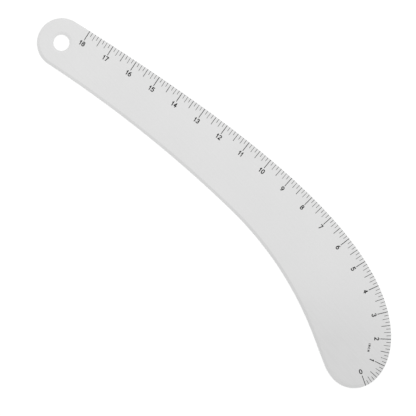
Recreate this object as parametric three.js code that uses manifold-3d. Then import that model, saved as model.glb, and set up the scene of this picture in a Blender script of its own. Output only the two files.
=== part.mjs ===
// An 18 inch hip curve ruler. One aluminium blade, nearly straight at its head and hooked at its tip,
// has a hang hole, an eased edge and an inch scale cut along its outer edge. Ink fills the scale.
// Millimetres, +Z up. The blade lies on its back with its length along X and its outer edge to +Y.

import * as THREE from "three";
import { mergeVertices } from "three/addons/utils/BufferGeometryUtils.js";
import Module from "manifold-3d";

const wasm = await Module();
wasm.setup();

// Scale
const INCH = 25.4;
const SCALE_INCHES = 18;
const MARKS_PER_INCH = 8;
const INCH_MARK = { length: 9.8, width: 0.66 };
const HALF_MARK = { length: 8.2, width: 0.54 };
const QUARTER_MARK = { length: 6.2, width: 0.42 };
const EIGHTH_MARK = { length: 4.1, width: 0.45 };
const GROOVE_DEPTH = 0.08;
const ZERO_MARK_LEAN = 4;

// Outer edge: from the zero mark its bend eases off as a power of the inches gone
const ZERO_MARK_HEADING = 71.7;
const ZERO_MARK_RADIUS = 28.1;
const EASING_INCHES = 5.75;
const EASING_POWER = 3.32;
const PAST_LAST_MARK = 16;

// Tip and inner edge, from the zero mark the other way round
const TIP_ARC = { radius: 26, turn: 74 };
const HEEL_ARC = { radius: 43, turn: 19.2 };
const HEEL_STRAIGHT = 29;
const HOLLOW_ARC = { radius: 315, turn: 25.2 };

// Head and its hang hole, whose centre lies a little nearer the end than the head's own
const HEAD_RADIUS = 22.7;
const HOLE_RADIUS = 7.5;
const HOLE_LEAD = 0.5;

// Section across the edge
const THICKNESS = 1.5;
const RIM_HEIGHT = 1.1;
const EASED_WIDTH = 2.6;

// Numbers and the unit's name, with their tops measured inwards from the outer edge
const NUMBER_TOP = 10.6;
const ZERO_TOP = 11.2;
const DIGIT = { height: 4.7, width: 3.1, pen: 0.9, gap: 0.65 };
const ONE_WIDTH = 1.85;
const UNIT_INCHES = 1.55;
const UNIT_TOP = 18;
const UNIT = { height: 2.2, width: 1.7, pen: 0.58, gap: 0.64 };

// Ink stays this far inside the walls of its groove, and this far under the face
const INK_CLEARANCE = 0.02;
const INK_SINK = 0.015;

// A groove's cutter reaches this far out of the blade
const AIR = 1;

// Fineness of the outline and of the digits' curves
const STATION_SPACING = INCH / 64;
const STATIONS_PER_MARK = 8;
const BOW = 0.012;
const LONGEST_FACET = 12;
const DEGREES_PER_FACET = 22.5;
const FACETS_PER_END = 4;

const radians = THREE.MathUtils.degToRad;

// A station is a place on an edge and its heading there. The metal is always on the left.
// Walking bends the heading at 1 / radius, to the left where the radius is positive.
function walk(start, length, radiusAt) {
  const count = Math.round(length / STATION_SPACING);
  const step = length / count;
  const stations = [start];
  for (let i = 0; i < count; i += 1) {
    const from = stations[i];
    const turn = step / radiusAt((i + 0.5) * step);
    const heading = from.heading + turn / 2;
    stations.push({
      x: from.x + step * Math.cos(heading),
      y: from.y + step * Math.sin(heading),
      heading: from.heading + turn,
    });
  }
  return stations;
}

function walkArc(start, radius, turn) {
  return walk(start, Math.abs(radius * turn), () => radius);
}

function last(list) {
  return list[list.length - 1];
}

function leftOf(station, distance) {
  return new THREE.Vector2(
    station.x - distance * Math.sin(station.heading),
    station.y + distance * Math.cos(station.heading),
  );
}

function turnedBack(station) {
  return { ...station, heading: station.heading + Math.PI };
}

// Outer edge, from the zero mark to where the head's round begins
function outerEdge(zeroMark) {
  const spiralRadius = (distance) =>
    ZERO_MARK_RADIUS * (1 + distance / INCH / EASING_INCHES) ** EASING_POWER;
  const scaleLength = SCALE_INCHES * INCH;
  const scale = walk(zeroMark, scaleLength, spiralRadius);
  const beyond = walk(last(scale), PAST_LAST_MARK, (distance) => spiralRadius(scaleLength + distance));
  return { scale, beyond };
}

// Tip and inner edge, walked backwards from the zero mark and returned the forward way round.
// The last arc's radius is the one that runs on into the head's round without a corner.
function innerEdge(zeroMark, headCentre) {
  const tip = walkArc(turnedBack(zeroMark), -TIP_ARC.radius, radians(TIP_ARC.turn));
  const heel = walkArc(last(tip), -HEEL_ARC.radius, radians(HEEL_ARC.turn));
  const straight = walk(last(heel), HEEL_STRAIGHT, () => Infinity);
  const hollow = walkArc(last(straight), HOLLOW_ARC.radius, radians(HOLLOW_ARC.turn));
  const start = last(hollow);
  const fromHead = new THREE.Vector2(start.x, start.y).sub(headCentre);
  const towardsCentre = new THREE.Vector2(-Math.sin(start.heading), Math.cos(start.heading));
  const radius =
    (fromHead.lengthSq() - HEAD_RADIUS ** 2) / (2 * (HEAD_RADIUS - fromHead.dot(towardsCentre)));
  const centre = leftOf(start, radius);
  const touchHeading = centre.clone().sub(headCentre).angle() - Math.PI / 2;
  const turn = THREE.MathUtils.euclideanModulo(touchHeading - start.heading, 2 * Math.PI);
  const neck = walkArc(start, radius, turn);
  return [tip, heel, straight, hollow, neck].flat().reverse().map(turnedBack);
}

// The whole outline as one anticlockwise loop of stations, with the scale's own and the hole's centre.
// The inner edge ends on the zero mark, which the loop has already, so its last station is left out.
function traceOutline() {
  const zeroMark = { x: 0, y: 0, heading: radians(ZERO_MARK_HEADING) };
  const { scale, beyond } = outerEdge(zeroMark);
  const headStart = last(beyond);
  const headCentre = leftOf(headStart, HEAD_RADIUS);
  const holeCentre = leftOf(last(walk(headStart, HOLE_LEAD, () => Infinity)), HEAD_RADIUS);
  const inner = innerEdge(zeroMark, headCentre);
  const headTurn = THREE.MathUtils.euclideanModulo(inner[0].heading - headStart.heading, 2 * Math.PI);
  const head = walkArc(headStart, HEAD_RADIUS, headTurn);
  return { scale, holeCentre, loop: [scale, beyond, head, inner.slice(0, -1)].flat() };
}

// Keeps only the stations that the shape needs: the edge between two of them bows out by BOW at most
function thinned(stations) {
  const kept = [stations[0]];
  for (const station of stations) {
    const from = last(kept);
    const distance = Math.hypot(station.x - from.x, station.y - from.y);
    const turn = Math.abs(Math.sin(station.heading - from.heading));
    if ((distance * turn) / 8 >= BOW || distance >= LONGEST_FACET) {
      kept.push(station);
    }
  }
  return kept;
}

// The hole's stations run clockwise, so that the metal is on their left too
function holeStations(centre) {
  const start = { x: centre.x + HOLE_RADIUS, y: centre.y, heading: -Math.PI / 2 };
  const circle = walkArc(start, -HOLE_RADIUS, 2 * Math.PI);
  return thinned(circle.slice(0, -1));
}

// Height of the blade's upper surface at a distance inwards from an edge, its slope carried on outside
function surfaceHeight(inset) {
  return THREE.MathUtils.lerp(RIM_HEIGHT, THICKNESS, Math.min(inset / EASED_WIDTH, 1));
}

// Rings round each edge at three heights, walls between them, and flat caps below and above
function plateGeometry(loops) {
  const levels = [
    { inset: 0, z: 0 },
    { inset: 0, z: RIM_HEIGHT },
    { inset: EASED_WIDTH, z: THICKNESS },
  ];
  const positions = [];
  const triangles = [];
  const capRings = [[], []];
  for (const loop of loops) {
    const first = positions.length / 3;
    const count = loop.length;
    for (const { inset, z } of levels) {
      loop.forEach((station) => positions.push(...leftOf(station, inset), z));
    }
    for (let level = 0; level < levels.length - 1; level += 1) {
      for (let i = 0; i < count; i += 1) {
        const low = first + level * count;
        const next = (i + 1) % count;
        triangles.push(low + i, low + next, low + count + next);
        triangles.push(low + i, low + count + next, low + count + i);
      }
    }
    const top = first + (levels.length - 1) * count;
    capRings[0].push({ first, points: loop.map((station) => leftOf(station, 0)) });
    capRings[1].push({ first: top, points: loop.map((station) => leftOf(station, EASED_WIDTH)) });
  }
  capRings.forEach((rings, side) => {
    const [contour, ...holes] = rings.map((ring) => ring.points);
    const vertex = rings.flatMap((ring) => ring.points.map((_, i) => ring.first + i));
    for (const [a, b, c] of THREE.ShapeUtils.triangulateShape(contour, holes)) {
      triangles.push(vertex[a], ...(side === 0 ? [vertex[c], vertex[b]] : [vertex[b], vertex[c]]));
    }
  });
  const geometry = new THREE.BufferGeometry();
  geometry.setAttribute("position", new THREE.Float32BufferAttribute(positions, 3));
  geometry.setIndex(triangles);
  return geometry;
}

// Solids for cutting and joining
function toSolid(geometry) {
  geometry.deleteAttribute("normal");
  geometry.deleteAttribute("uv");
  const merged = mergeVertices(geometry);
  return new wasm.Manifold(
    new wasm.Mesh({
      numProp: 3,
      vertProperties: new Float32Array(merged.attributes.position.array),
      triVerts: new Uint32Array(merged.index.array),
    }),
  );
}

function joined(solids) {
  return solids.reduce((whole, solid) => whole.add(solid));
}

function toMesh(name, solid, material) {
  const { vertProperties, triVerts } = solid.getMesh();
  const geometry = new THREE.BufferGeometry();
  geometry.setAttribute("position", new THREE.BufferAttribute(vertProperties, 3));
  geometry.setIndex(new THREE.BufferAttribute(triVerts, 1));
  geometry.computeVertexNormals();
  const mesh = new THREE.Mesh(geometry, material);
  mesh.name = name;
  return mesh;
}

function extruded(shape, depth, matrix) {
  const geometry = new THREE.ExtrudeGeometry(shape, { depth, bevelEnabled: false });
  return toSolid(geometry.applyMatrix4(matrix));
}

// A mark's side profile, from start to end inwards, keeps its floor and its roof at fixed distances
// from the blade's surface, and is extruded to the mark's width across the scale's direction
function markSolid(station, { start, end, width, floor, roof }) {
  const inner = new THREE.Vector3(-Math.sin(station.heading), Math.cos(station.heading), 0);
  const along = new THREE.Vector3(Math.cos(station.heading), Math.sin(station.heading), 0);
  const insets = [start, EASED_WIDTH, end];
  const low = insets.map((inset) => new THREE.Vector2(inset, surfaceHeight(inset) + floor));
  const high = insets.map((inset) => new THREE.Vector2(inset, surfaceHeight(inset) + roof));
  const matrix = new THREE.Matrix4()
    .makeBasis(inner, new THREE.Vector3(0, 0, 1), along)
    .setPosition(station.x - (along.x * width) / 2, station.y - (along.y * width) / 2, 0);
  return extruded(new THREE.Shape([...low, ...high.reverse()]), width, matrix);
}

function markGroove(station, mark) {
  const { length, width } = mark;
  return markSolid(station, { start: -AIR, end: length, width, floor: -GROOVE_DEPTH, roof: AIR });
}

function markInk(station, mark) {
  return markSolid(station, {
    start: INK_CLEARANCE,
    end: mark.length - INK_CLEARANCE,
    width: mark.width - 2 * INK_CLEARANCE,
    floor: INK_CLEARANCE - GROOVE_DEPTH,
    roof: -INK_SINK,
  });
}

function markAt(index) {
  if (index % MARKS_PER_INCH === 0) return INCH_MARK;
  if (index % (MARKS_PER_INCH / 2) === 0) return HALF_MARK;
  if (index % (MARKS_PER_INCH / 4) === 0) return QUARTER_MARK;
  return EIGHTH_MARK;
}

// Pen strokes, with x from -1 to 1 across a character and y from -1 to 1 up it
function line(...points) {
  return { points: points.map(([x, y]) => new THREE.Vector2(x, y)), closed: false };
}

function arc(x, y, radiusX, radiusY, from, to) {
  const count = Math.ceil(Math.abs(to - from) / DEGREES_PER_FACET);
  const points = Array.from({ length: count + 1 }, (_, i) => {
    const angle = radians(from + ((to - from) * i) / count);
    return new THREE.Vector2(x + radiusX * Math.cos(angle), y + radiusY * Math.sin(angle));
  });
  return { points, closed: false };
}

function oval(x, y, radiusX, radiusY) {
  return { points: arc(x, y, radiusX, radiusY, 0, 360).points.slice(0, -1), closed: true };
}

function chained(...strokes) {
  return { points: strokes.flatMap((stroke) => stroke.points), closed: false };
}

function turnedOver(strokes) {
  return strokes.map(({ points, closed }) => ({
    points: points.map((point) => point.clone().negate()),
    closed,
  }));
}

const SIX = [oval(0, -0.4, 1, 0.6), arc(1, -0.4, 2, 1.4, 180, 103)];
const DIGIT_STROKES = [
  [oval(0, 0, 1, 1)],
  [line([0.6, 1], [0.6, -1]), line([0.6, 0.9], [-1, 0.45])],
  [chained(arc(0, 0.48, 0.92, 0.52, 165, -20), line([-0.92, -0.94])), line([-1, -1], [1, -1])],
  [arc(-0.1, 0.5, 0.9, 0.5, 155, -90), arc(-0.1, -0.48, 1, 0.52, 90, -155)],
  [line([0.4, 1], [-1, -0.42]), line([-1, -0.42], [1.1, -0.42]), line([0.4, 1], [0.4, -1])],
  [line([-0.7, 1], [0.9, 1]), line([-0.7, 1], [-0.82, 0.05]), arc(-0.12, -0.35, 1.05, 0.65, 132, -150)],
  SIX,
  [line([-1, 1], [0.95, 1]), line([0.95, 1], [-0.35, -1])],
  [oval(0, 0.5, 0.85, 0.5), oval(0, -0.46, 1, 0.54)],
  turnedOver(SIX),
];
const LEFT_STEM = line([-1, -1], [-1, 1]);
const RIGHT_STEM = line([1, -1], [1, 1]);
const UNIT_LETTERS = [
  { name: "i", width: UNIT.pen, strokes: [line([0, -1], [0, 1])] },
  { name: "n", width: UNIT.width, strokes: [LEFT_STEM, line([-1, 1], [1, -1]), RIGHT_STEM] },
  { name: "c", width: UNIT.width, strokes: [arc(0.1, 0, 1.1, 1, 50, 310)] },
  { name: "h", width: UNIT.width, strokes: [LEFT_STEM, line([-1, 0], [1, 0]), RIGHT_STEM] },
];

// The half circle from one point to another, clockwise and without its ends
function roundEnd(from, to) {
  const middle = from.clone().add(to).divideScalar(2);
  return Array.from({ length: FACETS_PER_END - 1 }, (_, i) =>
    from.clone().rotateAround(middle, (-Math.PI * (i + 1)) / FACETS_PER_END),
  );
}

// A stroke drawn with a round-ended pen, as a flat ring where it is closed and a ribbon where not
function strokeShape({ points, closed }, pen) {
  const count = points.length;
  const side = (offset) =>
    points.map((point, i) => {
      const before = closed ? points[(i + count - 1) % count] : points[Math.max(i - 1, 0)];
      const after = closed ? points[(i + 1) % count] : points[Math.min(i + 1, count - 1)];
      const along = after.clone().sub(before).normalize();
      return new THREE.Vector2(point.x - offset * along.y, point.y + offset * along.x);
    });
  const left = side(pen / 2);
  const right = side(-pen / 2);
  if (closed) {
    const ring = new THREE.Shape(right);
    ring.holes.push(new THREE.Path(left));
    return ring;
  }
  const farEnd = roundEnd(last(left), last(right));
  const nearEnd = roundEnd(right[0], left[0]);
  return new THREE.Shape([...left, ...farEnd, ...right.reverse(), ...nearEnd]);
}

// A character reads with its top to the outer edge. Its centre is inset from the edge by a distance,
// and shifted towards the tip by another.
function characterSolid(strokes, size, place, trim, floor, roof) {
  const { station, inset, shift } = place;
  const pen = size.pen - 2 * trim;
  const halfWidth = (size.width - size.pen) / 2;
  const halfHeight = (size.height - size.pen) / 2;
  const right = new THREE.Vector3(-Math.cos(station.heading), -Math.sin(station.heading), 0);
  const up = new THREE.Vector3(Math.sin(station.heading), -Math.cos(station.heading), 0);
  const centre = leftOf(station, inset);
  const matrix = new THREE.Matrix4()
    .makeBasis(right, up, new THREE.Vector3(0, 0, 1))
    .setPosition(centre.x + right.x * shift, centre.y + right.y * shift, THICKNESS + floor);
  const solids = strokes.map(({ points, closed }) => {
    const scaled = points.map((point) => new THREE.Vector2(point.x * halfWidth, point.y * halfHeight));
    return extruded(strokeShape({ points: scaled, closed }, pen), roof - floor, matrix);
  });
  return joined(solids);
}

function characterGroove(strokes, size, place) {
  return characterSolid(strokes, size, place, 0, -GROOVE_DEPTH, AIR);
}

function characterInk(strokes, size, place) {
  const floor = INK_CLEARANCE - GROOVE_DEPTH;
  return characterSolid(strokes, size, place, INK_CLEARANCE, floor, -INK_SINK);
}

// Characters side by side, centred on a station, with their tops at a distance from the edge
function row(characters, size, station, top) {
  const total = characters.reduce((sum, { width }) => sum + width, size.gap * (characters.length - 1));
  let left = -total / 2;
  return characters.map(({ name, strokes, width }) => {
    const shift = left + width / 2;
    left += width + size.gap;
    return {
      name,
      strokes,
      size: { ...size, width },
      place: { station, inset: top + size.height / 2, shift },
    };
  });
}

function numberRow(number, station) {
  const digits = [...String(number)].map(Number);
  const padded = String(number).padStart(2, "0");
  const endings = digits.length === 2 ? ["_tens", "_units"] : [""];
  const characters = digits.map((digit, i) => ({
    name: `ink_number_${padded}${endings[i]}`,
    strokes: DIGIT_STROKES[digit],
    width: digit === 1 ? ONE_WIDTH : DIGIT.width,
  }));
  return row(characters, DIGIT, station, number === 0 ? ZERO_TOP : NUMBER_TOP);
}

function unitRow(station) {
  const characters = UNIT_LETTERS.map((letter) => ({ ...letter, name: `ink_unit_${letter.name}` }));
  return row(characters, UNIT, station, UNIT_TOP);
}

// Materials
const aluminium = new THREE.MeshStandardMaterial({
  name: "satin_aluminium",
  color: 0xd9dadb,
  roughness: 0.42,
  metalness: 0.9,
});
const ink = new THREE.MeshStandardMaterial({
  name: "black_ink",
  color: 0x1c1c1d,
  roughness: 0.6,
  metalness: 0,
});

// The zero mark and its number lean towards the one, and all other marks are square to the edge
function leaning(station) {
  return { ...station, heading: station.heading - radians(ZERO_MARK_LEAN) };
}

// Assembly
function buildRuler() {
  const { scale, holeCentre, loop } = traceOutline();
  const stationAt = (mark) => scale[Math.round(mark * STATIONS_PER_MARK)];
  const marks = Array.from({ length: SCALE_INCHES * MARKS_PER_INCH + 1 }, (_, index) => ({
    index,
    station: index === 0 ? leaning(stationAt(index)) : stationAt(index),
    mark: markAt(index),
  }));
  const inchMarks = marks.filter(({ mark }) => mark === INCH_MARK);
  const characters = [
    ...inchMarks.flatMap(({ index, station }) => numberRow(index / MARKS_PER_INCH, station)),
    ...unitRow(stationAt(UNIT_INCHES * MARKS_PER_INCH)),
  ];
  const grooves = [
    ...marks.map(({ station, mark }) => markGroove(station, mark)),
    ...characters.map(({ strokes, size, place }) => characterGroove(strokes, size, place)),
  ];
  const outline = thinned(loop);
  const plate = toSolid(plateGeometry([outline, holeStations(holeCentre)]));

  const flat = new THREE.Group();
  flat.add(toMesh("blade", plate.subtract(joined(grooves)), aluminium));
  for (const { index, station, mark } of inchMarks) {
    const name = `ink_inch_mark_${String(index / MARKS_PER_INCH).padStart(2, "0")}`;
    flat.add(toMesh(name, markInk(station, mark), ink));
  }
  for (const { name, strokes, size, place } of characters) {
    flat.add(toMesh(name, characterInk(strokes, size, place), ink));
  }

  const middle = new THREE.Box2()
    .setFromPoints(outline.map((station) => leftOf(station, 0)))
    .getCenter(new THREE.Vector2());
  flat.position.set(-middle.x, -middle.y, 0);
  const ruler = new THREE.Group();
  ruler.name = "hip_curve_ruler";
  ruler.add(flat);
  return ruler;
}

export default buildRuler();
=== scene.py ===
# Dresses the hip curve ruler: a satin aluminium blade with an eased edge, engraved and inked scale,
# lying on a pale floor under soft studio light. The plan is in millimetres and the meshes in metres,
# and named angles are in degrees.

import math

import bmesh
import bpy
from mathutils import Matrix, Vector


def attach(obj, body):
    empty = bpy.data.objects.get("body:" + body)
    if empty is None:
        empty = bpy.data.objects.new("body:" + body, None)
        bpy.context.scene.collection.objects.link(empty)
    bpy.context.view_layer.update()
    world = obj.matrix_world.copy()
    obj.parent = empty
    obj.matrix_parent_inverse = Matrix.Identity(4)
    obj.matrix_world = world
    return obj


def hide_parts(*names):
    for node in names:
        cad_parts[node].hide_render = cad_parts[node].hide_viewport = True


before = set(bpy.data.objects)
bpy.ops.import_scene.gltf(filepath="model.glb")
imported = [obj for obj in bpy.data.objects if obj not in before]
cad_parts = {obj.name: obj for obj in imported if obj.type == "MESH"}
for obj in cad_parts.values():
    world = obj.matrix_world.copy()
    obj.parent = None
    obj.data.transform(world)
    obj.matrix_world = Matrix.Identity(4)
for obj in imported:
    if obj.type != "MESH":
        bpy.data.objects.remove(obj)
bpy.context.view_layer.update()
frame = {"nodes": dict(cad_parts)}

MM = 0.001

# Scale, as in the solids
INCH = 25.4
SCALE_INCHES = 18
MARKS_PER_INCH = 8
INCH_MARK = {"length": 9.8, "width": 0.66}
HALF_MARK = {"name": "half_inch_lines", "length": 8.2, "width": 0.54}
QUARTER_MARK = {"name": "quarter_inch_lines", "length": 6.2, "width": 0.42}
EIGHTH_MARK = {"name": "eighth_inch_lines", "length": 4.1, "width": 0.45}
ZERO_MARK_LEAN = 4
GROOVE_DEPTH = 0.08

# Ink stays this far inside the walls of its groove and this far under the face, as in the solids,
# and a groove's cutter reaches this far out of the blade
INK_CLEARANCE = 0.02
INK_SINK = 0.015
AIR = 1

# Outer edge, tip, inner edge, head and hole, as in the solids. An arc is its radius and its turn.
ZERO_MARK_HEADING = 71.7
ZERO_MARK_RADIUS = 28.1
EASING_INCHES = 5.75
EASING_POWER = 3.32
PAST_LAST_MARK = 16
TIP_ARC = (26, 74)
HEEL_ARC = (43, 19.2)
HEEL_STRAIGHT = 29
HOLLOW_ARC = (315, 25.2)
HEAD_RADIUS = 22.7
HOLE_RADIUS = 7.5
HOLE_LEAD = 0.5

# Section across the edge: distance inwards and height, from the underside round to the flat face.
# Its widest points keep a hundredth inside the solid's outline.
THICKNESS = 1.5
RIM_HEIGHT = 1.1
EASED_WIDTH = 2.6
EDGE_SECTION = [
    (0.12, 0),
    (0.04, 0.035),
    (0.01, 0.12),
    (0.01, 0.98),
    (0.03, 1.07),
    (0.09, 1.115),
    (0.16, 1.126),
    (2.27, 1.45),
    (2.35, 1.462),
    (2.6, 1.49),
    (2.85, 1.5),
    (3, 1.5),
]

# Numbers and the unit's name, as in the solids
NUMBER_TOP = 10.6
ZERO_TOP = 11.2
DIGIT = {"height": 4.7, "width": 3.1, "pen": 0.9, "gap": 0.65}
ONE_WIDTH = 1.85
UNIT_INCHES = 1.55
UNIT_TOP = 18
UNIT = {"height": 2.2, "width": 1.7, "pen": 0.58, "gap": 0.64}

# Fineness: the edge between two stations bows out by BOW at most
STATIONS_PER_MARK = 8
STATION_SPACING = INCH / MARKS_PER_INCH / STATIONS_PER_MARK
BOW = 0.003
LONGEST_FACET = 6
DEGREES_PER_STEP = 9
CAP_STEPS = 6

# A stroke whose ends are nearer than this is closed
SAME_PLACE = 0.005

# Edges sharper than the first stay crisp, and faces steeper than the second are walls
SHARP_ANGLE = 30
WALL_ANGLE = 60

# Base colours, roughness and bump. The face's grey drifts by a cloud and a grain, and each pair is
# the range that a surface's noise moves in. Noise keeps between the last pair nearly everywhere.
FACE_GREY = 0.75
FACE_CLOUD = 0.01
FACE_GRAIN = 0.012
FACE_ROUGHNESS = (0.28, 0.38)
GRAIN_BUMP = 0.08
GRAIN_HEIGHT = 0.02
# The walls' grey is darker than the face partly because cut metal is duller and partly as painted
# shade, so that the thickness shows as a dark line
EDGE_GREY_WITH_PAINTED_SHADE = (0.42, 0.5)
EDGE_ROUGHNESS = (0.3, 0.42)
INK_GREY = (0.0096, 0.015)
INK_ROUGHNESS = (0.5, 0.7)
INK_SPECULAR = 0.12
NOISE_MIDDLE = (0.3, 0.7)

# Noises. A higher scale is finer, and a stretch below 1 draws the noise out along that axis.
GRAIN = {"scale": 900, "detail": 3, "stretch": (0.06, 1, 1)}
CLOUD = {"scale": 14, "detail": 3}
SHEAR_LINES = {"scale": 1200, "stretch": (1, 1, 0.05)}
SPECKLE = {"scale": 2500}

# Floor, in metres
FLOOR_SIZE = 40
FLOOR_GAP = 0.00002
FLOOR_GREY = 0.8
FLOOR_GLOW = 0.42

# Light: a white sky that is darker near the horizon, and a wide soft panel above the scale's side,
# in metres and watts
SKY_STRENGTH = 0.83
HORIZON_STRENGTH = 0.42
FULL_SKY_HEIGHT = 0.6
PANEL_PLACE = (-0.44, 1.04, 0.4)
PANEL_SIZE = 2.44
PANEL_POWER = 2.9

# Camera, straight above, turned so that the ruler lies across the picture as in the photograph.
# The picture's width and middle are in metres, and the lens and sensor in millimetres.
PICTURE_WIDTH = 0.38026
PICTURE_MIDDLE = (0.00278, -0.02864)
PICTURE_TURN = 47.72
LENS = 200
SENSOR = 36


# Stations along an edge: x, y and heading, with the metal on the left. Walking bends the heading
# at 1 / radius, to the left where the radius is positive.
def walk(start, length, radius_at):
    count = round(length / STATION_SPACING)
    step = length / count
    stations = [start]
    for i in range(count):
        x, y, heading = stations[-1]
        turn = step / radius_at((i + 0.5) * step)
        middle = heading + turn / 2
        stations.append((x + step * math.cos(middle), y + step * math.sin(middle), heading + turn))
    return stations


def walk_arc(start, radius, turn):
    return walk(start, abs(radius * turn), lambda _: radius)


def left_of(station, distance):
    x, y, heading = station
    return Vector((x - distance * math.sin(heading), y + distance * math.cos(heading)))


def turned_back(station):
    x, y, heading = station
    return x, y, heading + math.pi


def outer_edge(zero_mark):
    def spiral_radius(distance):
        return ZERO_MARK_RADIUS * (1 + distance / INCH / EASING_INCHES) ** EASING_POWER

    length = SCALE_INCHES * INCH
    scale = walk(zero_mark, length, spiral_radius)
    beyond = walk(scale[-1], PAST_LAST_MARK, lambda distance: spiral_radius(length + distance))
    return scale, beyond


def inner_edge(zero_mark, head_centre):
    """Walked backwards from the zero mark, and returned the forward way round."""
    tip = walk_arc(turned_back(zero_mark), -TIP_ARC[0], math.radians(TIP_ARC[1]))
    heel = walk_arc(tip[-1], -HEEL_ARC[0], math.radians(HEEL_ARC[1]))
    straight = walk(heel[-1], HEEL_STRAIGHT, lambda _: math.inf)
    hollow = walk_arc(straight[-1], HOLLOW_ARC[0], math.radians(HOLLOW_ARC[1]))

    # The neck leaves the hollow without a corner and touches the head's round
    start = hollow[-1]
    x, y, heading = start
    from_head = Vector((x, y)) - head_centre
    towards_centre = Vector((-math.sin(heading), math.cos(heading)))
    offset = HEAD_RADIUS - from_head.dot(towards_centre)
    radius = (from_head.length_squared - HEAD_RADIUS**2) / (2 * offset)
    to_touch = left_of(start, radius) - head_centre
    touch_heading = math.atan2(to_touch.y, to_touch.x) - math.pi / 2
    neck = walk_arc(start, radius, (touch_heading - heading) % (2 * math.pi))
    return [turned_back(s) for s in reversed(tip + heel + straight + hollow + neck)]


def trace_outline():
    zero_mark = (0, 0, math.radians(ZERO_MARK_HEADING))
    scale, beyond = outer_edge(zero_mark)
    head_centre = left_of(beyond[-1], HEAD_RADIUS)
    hole_centre = left_of(walk(beyond[-1], HOLE_LEAD, lambda _: math.inf)[-1], HEAD_RADIUS)
    inner = inner_edge(zero_mark, head_centre)
    head_turn = (inner[0][2] - beyond[-1][2]) % (2 * math.pi)
    head = walk_arc(beyond[-1], HEAD_RADIUS, head_turn)
    # The inner edge ends where the scale starts, so its last station is left out
    return scale, hole_centre, scale + beyond + head + inner[:-1]


def thinned(stations):
    """Only the stations that the shape needs. Between two, the edge bows out by distance * turn / 8."""
    kept = [stations[0]]
    for station in stations:
        distance = math.dist(station[:2], kept[-1][:2])
        # The sine leaves out the whole turns by which headings differ where two edges meet
        turn = abs(math.sin(station[2] - kept[-1][2]))
        if distance * turn / 8 >= BOW or distance >= LONGEST_FACET:
            kept.append(station)
    return kept


def shifted(stations, shift):
    return [(x + shift.x, y + shift.y, heading) for x, y, heading in stations]


def surface_height(inset):
    """Height of the solid blade's upper surface at a distance inwards from its edge."""
    return RIM_HEIGHT + (THICKNESS - RIM_HEIGHT) * min(inset / EASED_WIDTH, 1)


# Meshes
def linked(name, data):
    item = bpy.data.objects.new(name, data)
    bpy.context.scene.collection.objects.link(item)
    return item


def new_mesh(name, bm):
    bmesh.ops.recalc_face_normals(bm, faces=bm.faces)
    mesh = bpy.data.meshes.new(name)
    bm.to_mesh(mesh)
    bm.free()
    return mesh


def combined(target, others, operation):
    """One mesh made of target and others by a boolean modifier."""
    holder = linked("boolean_target", target)
    helpers = [holder]
    for other in others:
        helper = linked("boolean_cutter", other)
        modifier = holder.modifiers.new("cut", "BOOLEAN")
        modifier.operation = operation
        modifier.solver = "MANIFOLD"
        modifier.object = helper
        helpers.append(helper)
    graph = bpy.context.evaluated_depsgraph_get()
    result = bpy.data.meshes.new_from_object(holder.evaluated_get(graph))
    for helper in helpers:
        bpy.data.objects.remove(helper)
    return result


def merged(meshes):
    """One mesh holding several that don't touch."""
    bm = bmesh.new()
    for mesh in meshes:
        bm.from_mesh(mesh)
    return new_mesh("merged", bm)


def plate_mesh(loops):
    """The uncut blade: the edge's section swept round each loop, with a flat back and face."""
    bm = bmesh.new()
    low_edges = []
    high_edges = []
    for loop in loops:
        rings = [
            [bm.verts.new((*(left_of(s, inset) * MM), z * MM)) for s in loop]
            for inset, z in EDGE_SECTION
        ]
        count = len(loop)
        for low, high in zip(rings, rings[1:]):
            for i in range(count):
                j = (i + 1) % count
                bm.faces.new((low[i], low[j], high[j], high[i]))
        for ring, edges in ((rings[0], low_edges), (rings[-1], high_edges)):
            edges.extend(bm.edges.get((ring[i], ring[(i + 1) % count])) for i in range(count))
    bmesh.ops.triangle_fill(bm, edges=low_edges, use_beauty=True, normal=(0, 0, -1))
    bmesh.ops.triangle_fill(bm, edges=high_edges, use_beauty=True, normal=(0, 0, 1))
    return new_mesh("plate", bm)


def prism(bm, outline, matrix, depth):
    """A flat outline pushed along the matrix's Z by depth."""
    low = [bm.verts.new(matrix @ Vector((x, y, 0))) for x, y in outline]
    high = [bm.verts.new(matrix @ Vector((x, y, depth))) for x, y in outline]
    bm.faces.new(list(reversed(low)))
    bm.faces.new(high)
    for i in range(len(outline)):
        j = (i + 1) % len(outline)
        bm.faces.new((low[i], low[j], high[j], high[i]))


def line_mesh(station, start, end, width, floor, roof):
    """A line across the edge, with its floor and roof at fixed heights from the blade's surface."""
    x, y, heading = station
    inner = Vector((-math.sin(heading), math.cos(heading), 0))
    along = Vector((math.cos(heading), math.sin(heading), 0))
    corner = Vector((x, y, 0)) - along * (width / 2)
    turn = Matrix((inner, Vector((0, 0, 1)), along)).transposed().to_4x4()
    matrix = Matrix.Scale(MM, 4) @ Matrix.Translation(corner) @ turn
    insets = (start, EASED_WIDTH, end)
    low = [(inset, surface_height(inset) + floor) for inset in insets]
    high = [(inset, surface_height(inset) + roof) for inset in reversed(insets)]
    bm = bmesh.new()
    prism(bm, low + high, matrix, width)
    return new_mesh("line", bm)


def line_groove(station, mark):
    return line_mesh(station, -AIR, mark["length"], mark["width"], -GROOVE_DEPTH, AIR)


def line_ink(station, mark):
    return line_mesh(
        station,
        INK_CLEARANCE,
        mark["length"] - INK_CLEARANCE,
        mark["width"] - 2 * INK_CLEARANCE,
        INK_CLEARANCE - GROOVE_DEPTH,
        -INK_SINK,
    )


def mark_at(index):
    if index % MARKS_PER_INCH == 0:
        return INCH_MARK
    if index % (MARKS_PER_INCH // 2) == 0:
        return HALF_MARK
    if index % (MARKS_PER_INCH // 4) == 0:
        return QUARTER_MARK
    return EIGHTH_MARK


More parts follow.
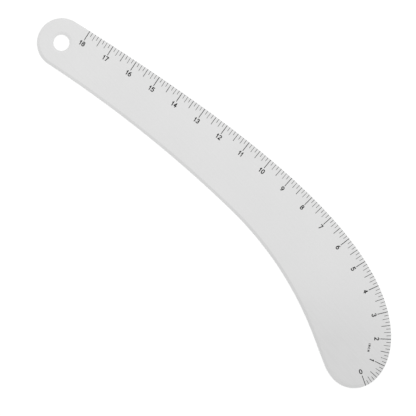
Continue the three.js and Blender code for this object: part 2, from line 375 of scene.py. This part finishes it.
# Pen strokes, with x from -1 to 1 across a character and y from -1 to 1 up it. A stroke that ends
# where it began is closed, and strokes that meet at a corner are separate.
def arc(x, y, radius_x, radius_y, start, end):
    count = math.ceil(abs(end - start) / DEGREES_PER_STEP)
    angles = [math.radians(start + (end - start) * i / count) for i in range(count + 1)]
    return [(x + radius_x * math.cos(a), y + radius_y * math.sin(a)) for a in angles]


def oval(x, y, radius_x, radius_y):
    return arc(x, y, radius_x, radius_y, 0, 360)


SIX = [oval(0, -0.4, 1, 0.6), arc(1, -0.4, 2, 1.4, 180, 103)]
DIGIT_STROKES = [
    [oval(0, 0, 1, 1)],
    [[(0.6, 1), (0.6, -1)], [(0.6, 0.9), (-1, 0.45)]],
    [arc(0, 0.48, 0.92, 0.52, 165, -20) + [(-0.92, -0.94)], [(-1, -1), (1, -1)]],
    [arc(-0.1, 0.5, 0.9, 0.5, 155, -90), arc(-0.1, -0.48, 1, 0.52, 90, -155)],
    [[(0.4, 1), (-1, -0.42)], [(-1, -0.42), (1.1, -0.42)], [(0.4, 1), (0.4, -1)]],
    [[(-0.7, 1), (0.9, 1)], [(-0.7, 1), (-0.82, 0.05)], arc(-0.12, -0.35, 1.05, 0.65, 132, -150)],
    SIX,
    [[(-1, 1), (0.95, 1)], [(0.95, 1), (-0.35, -1)]],
    [oval(0, 0.5, 0.85, 0.5), oval(0, -0.46, 1, 0.54)],
    [[(-x, -y) for x, y in stroke] for stroke in SIX],
]
LEFT_STEM = [(-1, -1), (-1, 1)]
RIGHT_STEM = [(1, -1), (1, 1)]
UNIT_LETTERS = [
    (UNIT["pen"], [[(0, -1), (0, 1)]]),
    (UNIT["width"], [LEFT_STEM, [(-1, 1), (1, -1)], RIGHT_STEM]),
    (UNIT["width"], [arc(0.1, 0, 1.1, 1, 50, 310)]),
    (UNIT["width"], [LEFT_STEM, [(-1, 0), (1, 0)], RIGHT_STEM]),
]


def stroke_mesh(points, pen, depth):
    """A stroke of a round-ended pen, in millimetres, standing on z = 0."""
    points = [Vector(point) for point in points]
    closed = (points[0] - points[-1]).length < SAME_PLACE
    if closed:
        points.pop()
    count = len(points)
    left = []
    right = []
    for i, point in enumerate(points):
        before = points[i - 1] if closed or i else point
        after = points[(i + 1) % count] if closed or i < count - 1 else point
        along = (after - before).normalized()
        normal = Vector((-along.y, along.x)) * (pen / 2)
        left.append(point + normal)
        right.append(point - normal)
    bm = bmesh.new()
    if closed:
        ring_prism(bm, right, left, depth)
    else:
        far_end = round_end(left[-1], right[-1])
        near_end = round_end(right[0], left[0])
        prism(bm, left + far_end + right[::-1] + near_end, Matrix.Identity(4), depth)
    return new_mesh("stroke", bm)


def round_end(start, end):
    """The half circle from start to end, clockwise and without its ends."""
    middle = (start + end) / 2
    turns = [-math.pi * i / CAP_STEPS for i in range(1, CAP_STEPS)]
    return [middle + Matrix.Rotation(turn, 2) @ (start - middle) for turn in turns]


def ring_prism(bm, outer, inner, depth):
    """A flat ring between two closed rims of as many points, pushed up by depth."""
    corners = [
        [bm.verts.new((x, y, z)) for x, y in rim]
        for rim, z in ((outer, 0), (outer, depth), (inner, depth), (inner, 0))
    ]
    count = len(outer)
    for here, there in zip(corners, corners[1:] + corners[:1]):
        for i in range(count):
            j = (i + 1) % count
            bm.faces.new((here[i], here[j], there[j], there[i]))


def character_mesh(strokes, size, trim, floor, roof):
    """A character round the origin, in millimetres, with its strokes joined into one closed form."""
    half_width = (size["width"] - size["pen"]) / 2
    half_height = (size["height"] - size["pen"]) / 2
    pen = size["pen"] - 2 * trim
    solids = [
        stroke_mesh([(x * half_width, y * half_height) for x, y in stroke], pen, roof - floor)
        for stroke in strokes
    ]
    whole = combined(solids[0], solids[1:], "UNION")
    whole.transform(Matrix.Translation((0, 0, THICKNESS + floor)))
    return whole


def character_matrix(station, inset, shift):
    """Places a character with its top to the outer edge, moved towards the tip by shift."""
    heading = station[2]
    right = Vector((-math.cos(heading), -math.sin(heading), 0))
    up = Vector((math.sin(heading), -math.cos(heading), 0))
    centre = left_of(station, inset).to_3d() + right * shift
    turn = Matrix((right, up, Vector((0, 0, 1)))).transposed().to_4x4()
    return Matrix.Scale(MM, 4) @ Matrix.Translation(centre) @ turn


def placed(mesh, matrix):
    copy = mesh.copy()
    copy.transform(matrix)
    return copy


def character_pair(strokes, size):
    """A character's ink and the groove that it lies in."""
    ink_floor = INK_CLEARANCE - GROOVE_DEPTH
    ink = character_mesh(strokes, size, INK_CLEARANCE, ink_floor, -INK_SINK)
    groove = character_mesh(strokes, size, 0, -GROOVE_DEPTH, AIR)
    return ink, groove


def character_row(widths, size, station, top):
    """A matrix for each of several characters side by side, centred on a station."""
    inset = top + size["height"] / 2
    left = -(sum(widths) + size["gap"] * (len(widths) - 1)) / 2
    matrices = []
    for width in widths:
        matrices.append(character_matrix(station, inset, left + width / 2))
        left += width + size["gap"]
    return matrices


def digit_width(digit):
    return ONE_WIDTH if digit == 1 else DIGIT["width"]


# Finished pieces
def finished(name, mesh, materials, replaced=()):
    """Puts a mesh in the scene as a piece of the ruler, which may stand for some of the solids."""
    mesh.name = name
    mesh.validate()
    mesh.materials.clear()
    for material in materials:
        mesh.materials.append(material)
    mesh.shade_smooth()
    mesh.set_sharp_from_angle(angle=math.radians(SHARP_ANGLE))
    piece = linked(name, mesh)
    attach(piece, "root")
    if replaced:
        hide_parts(*replaced)
    return piece


# Materials
def new_material(name):
    material = bpy.data.materials.new(name)
    material.use_nodes = True
    nodes = material.node_tree.nodes
    return material, nodes, material.node_tree.links, nodes["Principled BSDF"]


def noise(nodes, links, scale, detail=2, stretch=(1, 1, 1)):
    """Noise over the object's own coordinates, which are in metres."""
    coordinates = nodes.new("ShaderNodeTexCoord")
    mapping = nodes.new("ShaderNodeMapping")
    mapping.inputs["Scale"].default_value = stretch
    texture = nodes.new("ShaderNodeTexNoise")
    texture.inputs["Scale"].default_value = scale
    texture.inputs["Detail"].default_value = detail
    links.new(coordinates.outputs["Object"], mapping.inputs["Vector"])
    links.new(mapping.outputs["Vector"], texture.inputs["Vector"])
    return texture.outputs["Fac"]


def ranged(nodes, links, value, low, high):
    """Noise values, which keep near their middle, mapped to a range."""
    node = nodes.new("ShaderNodeMapRange")
    node.inputs["From Min"].default_value = NOISE_MIDDLE[0]
    node.inputs["From Max"].default_value = NOISE_MIDDLE[1]
    node.inputs["To Min"].default_value = low
    node.inputs["To Max"].default_value = high
    links.new(value, node.inputs["Value"])
    return node.outputs["Result"]


def satin_aluminium():
    """The face: a fine grain along the blade and a faint cloud, with the grain in the bump as well."""
    material, nodes, links, shader = new_material("satin_aluminium")
    shader.inputs["Metallic"].default_value = 1
    grain = noise(nodes, links, **GRAIN)
    cloud = noise(nodes, links, **CLOUD)
    mixed = nodes.new("ShaderNodeMath")
    mixed.operation = "ADD"
    clouded = ranged(nodes, links, cloud, FACE_GREY - FACE_CLOUD, FACE_GREY + FACE_CLOUD)
    links.new(clouded, mixed.inputs[0])
    links.new(ranged(nodes, links, grain, -FACE_GRAIN, FACE_GRAIN), mixed.inputs[1])
    links.new(mixed.outputs["Value"], shader.inputs["Base Color"])
    links.new(ranged(nodes, links, grain, *FACE_ROUGHNESS), shader.inputs["Roughness"])
    bump = nodes.new("ShaderNodeBump")
    bump.inputs["Strength"].default_value = GRAIN_BUMP
    bump.inputs["Distance"].default_value = GRAIN_HEIGHT * MM
    links.new(grain, bump.inputs["Height"])
    links.new(bump.outputs["Normal"], shader.inputs["Normal"])
    return material


def sheared_edge():
    """The walls: duller cut metal with upright shear lines, its grey lowered further as painted shade
    so that the thickness shows as a dark line.
    """
    material, nodes, links, shader = new_material("sheared_edge")
    shader.inputs["Metallic"].default_value = 1
    lines = noise(nodes, links, **SHEAR_LINES)
    links.new(ranged(nodes, links, lines, *EDGE_GREY_WITH_PAINTED_SHADE), shader.inputs["Base Color"])
    links.new(ranged(nodes, links, lines, *EDGE_ROUGHNESS), shader.inputs["Roughness"])
    return material


def black_ink():
    """Dull filler with a fine speckle."""
    material, nodes, links, shader = new_material("black_ink")
    speckle = noise(nodes, links, **SPECKLE)
    links.new(ranged(nodes, links, speckle, *INK_GREY), shader.inputs["Base Color"])
    links.new(ranged(nodes, links, speckle, *INK_ROUGHNESS), shader.inputs["Roughness"])
    shader.inputs["Specular IOR Level"].default_value = INK_SPECULAR
    return material


def floor_material():
    """Pale and dull, and a little brighter than lit to the camera, in gloss and through glass."""
    material, nodes, links, shader = new_material("floor")
    nodes.remove(shader)
    diffuse = nodes.new("ShaderNodeBsdfDiffuse")
    diffuse.inputs["Color"].default_value = (FLOOR_GREY, FLOOR_GREY, FLOOR_GREY, 1)
    glow = nodes.new("ShaderNodeEmission")
    light_path = nodes.new("ShaderNodeLightPath")
    seen = nodes.new("ShaderNodeMath")
    seen.operation = "MAXIMUM"
    seen_or_through = nodes.new("ShaderNodeMath")
    seen_or_through.operation = "MAXIMUM"
    strength = nodes.new("ShaderNodeMath")
    strength.operation = "MULTIPLY"
    strength.inputs[1].default_value = FLOOR_GLOW
    both = nodes.new("ShaderNodeAddShader")
    links.new(light_path.outputs["Is Camera Ray"], seen.inputs[0])
    links.new(light_path.outputs["Is Glossy Ray"], seen.inputs[1])
    links.new(seen.outputs["Value"], seen_or_through.inputs[0])
    links.new(light_path.outputs["Is Transmission Ray"], seen_or_through.inputs[1])
    links.new(seen_or_through.outputs["Value"], strength.inputs[0])
    links.new(strength.outputs["Value"], glow.inputs["Strength"])
    links.new(diffuse.outputs["BSDF"], both.inputs[0])
    links.new(glow.outputs["Emission"], both.inputs[1])
    links.new(both.outputs["Shader"], nodes["Material Output"].inputs["Surface"])
    return material


# Plan of the ruler
def centred_plan():
    """The scale's stations, the rim's and the hole's, round the middle of the outline's box."""
    scale, hole_centre, outline = trace_outline()
    rim = thinned(outline)
    xs = [x for x, _, _ in rim]
    ys = [y for _, y, _ in rim]
    shift = -Vector(((min(xs) + max(xs)) / 2, (min(ys) + max(ys)) / 2))
    x, y = hole_centre + shift
    circle = walk_arc((x + HOLE_RADIUS, y, -math.pi / 2), -HOLE_RADIUS, 2 * math.pi)
    return shifted(scale, shift), shifted(rim, shift), thinned(circle[:-1])


def mark_stations(scale):
    """A station for each line. The zero mark's leans towards the one, and its number with it."""
    marks = range(SCALE_INCHES * MARKS_PER_INCH + 1)
    (x, y, heading), *others = [scale[mark * STATIONS_PER_MARK] for mark in marks]
    return [(x, y, heading - math.radians(ZERO_MARK_LEAN)), *others]


# Ink and the cutters of its grooves. The inch lines' ink is in the solids, so none is made here.
def ruled_lines(stations):
    inks = {mark["name"]: [] for mark in (HALF_MARK, QUARTER_MARK, EIGHTH_MARK)}
    for index, station in enumerate(stations):
        mark = mark_at(index)
        if mark is not INCH_MARK:
            inks[mark["name"]].append(line_ink(station, mark))
    grooves = [line_groove(station, mark_at(index)) for index, station in enumerate(stations)]
    return {name: merged(lines) for name, lines in inks.items()}, grooves


def set_characters(pairs, matrices):
    inks = [placed(ink_form, matrix) for (ink_form, _), matrix in zip(pairs, matrices)]
    grooves = [placed(groove_form, matrix) for (_, groove_form), matrix in zip(pairs, matrices)]
    return merged(inks), grooves


def numbers(stations):
    pairs = [
        character_pair(strokes, {**DIGIT, "width": digit_width(digit)})
        for digit, strokes in enumerate(DIGIT_STROKES)
    ]
    inks = {}
    grooves = []
    for number in range(SCALE_INCHES + 1):
        digits = [int(letter) for letter in str(number)]
        widths = [digit_width(digit) for digit in digits]
        top = NUMBER_TOP if number else ZERO_TOP
        matrices = character_row(widths, DIGIT, stations[number * MARKS_PER_INCH], top)
        ink, cuts = set_characters([pairs[digit] for digit in digits], matrices)
        inks[f"number_{number:02d}"] = ink
        grooves += cuts
    return inks, grooves


def unit_mark(scale):
    station = scale[round(UNIT_INCHES * MARKS_PER_INCH * STATIONS_PER_MARK)]
    pairs = [character_pair(strokes, {**UNIT, "width": width}) for width, strokes in UNIT_LETTERS]
    widths = [width for width, _ in UNIT_LETTERS]
    return set_characters(pairs, character_row(widths, UNIT, station, UNIT_TOP))


def cut_blade(rim, hole, grooves):
    plate = combined(plate_mesh([rim, hole]), [merged(grooves)], "DIFFERENCE")
    blade = finished("ruler_blade", plate, [satin_aluminium(), sheared_edge()], ["blade"])
    # Steep faces low on the blade are walls and take the walls' material, with its painted shade
    wall_slope = math.cos(math.radians(WALL_ANGLE))
    for face in blade.data.polygons:
        is_wall = abs(face.normal.z) < wall_slope and face.center.z < RIM_HEIGHT * MM
        face.material_index = 1 if is_wall else 0


def build_ruler():
    scale, rim, hole = centred_plan()
    stations = mark_stations(scale)
    line_inks, line_grooves = ruled_lines(stations)
    number_inks, number_grooves = numbers(stations)
    unit_ink, unit_grooves = unit_mark(scale)
    cut_blade(rim, hole, line_grooves + number_grooves + unit_grooves)

    ink = black_ink()
    nodes = frame["nodes"]
    for name, mesh in line_inks.items():
        finished(name, mesh, [ink])
    for name, mesh in number_inks.items():
        finished(name, mesh, [ink], [node for node in nodes if node.startswith(f"ink_{name}")])
    unit_nodes = [node for node in nodes if node.startswith("ink_unit")]
    finished("unit_mark", unit_ink, [ink], unit_nodes)
    for name, node in nodes.items():
        if name.startswith("ink_inch_mark"):
            node.data.materials.clear()
            node.data.materials.append(ink)


# Surroundings
def add_floor():
    bm = bmesh.new()
    bmesh.ops.create_grid(bm, x_segments=1, y_segments=1, size=FLOOR_SIZE / 2)
    mesh = new_mesh("floor", bm)
    mesh.materials.append(floor_material())
    floor = linked("floor", mesh)
    floor.location = (0, 0, -FLOOR_GAP)


def light_sky():
    world = bpy.data.worlds.new("studio")
    bpy.context.scene.world = world
    world.use_nodes = True
    nodes = world.node_tree.nodes
    links = world.node_tree.links
    sky = nodes["Background"]
    sky.inputs["Color"].default_value = (1, 1, 1, 1)
    direction = nodes.new("ShaderNodeTexCoord")
    axes = nodes.new("ShaderNodeSeparateXYZ")
    rise = nodes.new("ShaderNodeMapRange")
    rise.inputs["From Max"].default_value = FULL_SKY_HEIGHT
    rise.inputs["To Min"].default_value = HORIZON_STRENGTH
    rise.inputs["To Max"].default_value = SKY_STRENGTH
    links.new(direction.outputs["Generated"], axes.inputs["Vector"])
    links.new(axes.outputs["Z"], rise.inputs["Value"])
    links.new(rise.outputs["Result"], sky.inputs["Strength"])


def add_panel():
    light = bpy.data.lights.new("panel", "AREA")
    light.shape = "DISK"
    light.size = PANEL_SIZE
    light.energy = PANEL_POWER
    panel = linked("panel", light)
    panel.location = PANEL_PLACE
    panel.visible_camera = False


def add_camera():
    data = bpy.data.cameras.new("camera")
    data.lens = LENS
    data.sensor_width = SENSOR
    camera = linked("camera", data)
    camera.location = (*PICTURE_MIDDLE, THICKNESS * MM + PICTURE_WIDTH * LENS / SENSOR)
    camera.rotation_euler = (0, 0, math.radians(PICTURE_TURN))
    bpy.context.scene.camera = camera


build_ruler()
add_floor()
light_sky()
add_panel()
add_camera()
bpy.context.scene.view_settings.view_transform = "Standard"
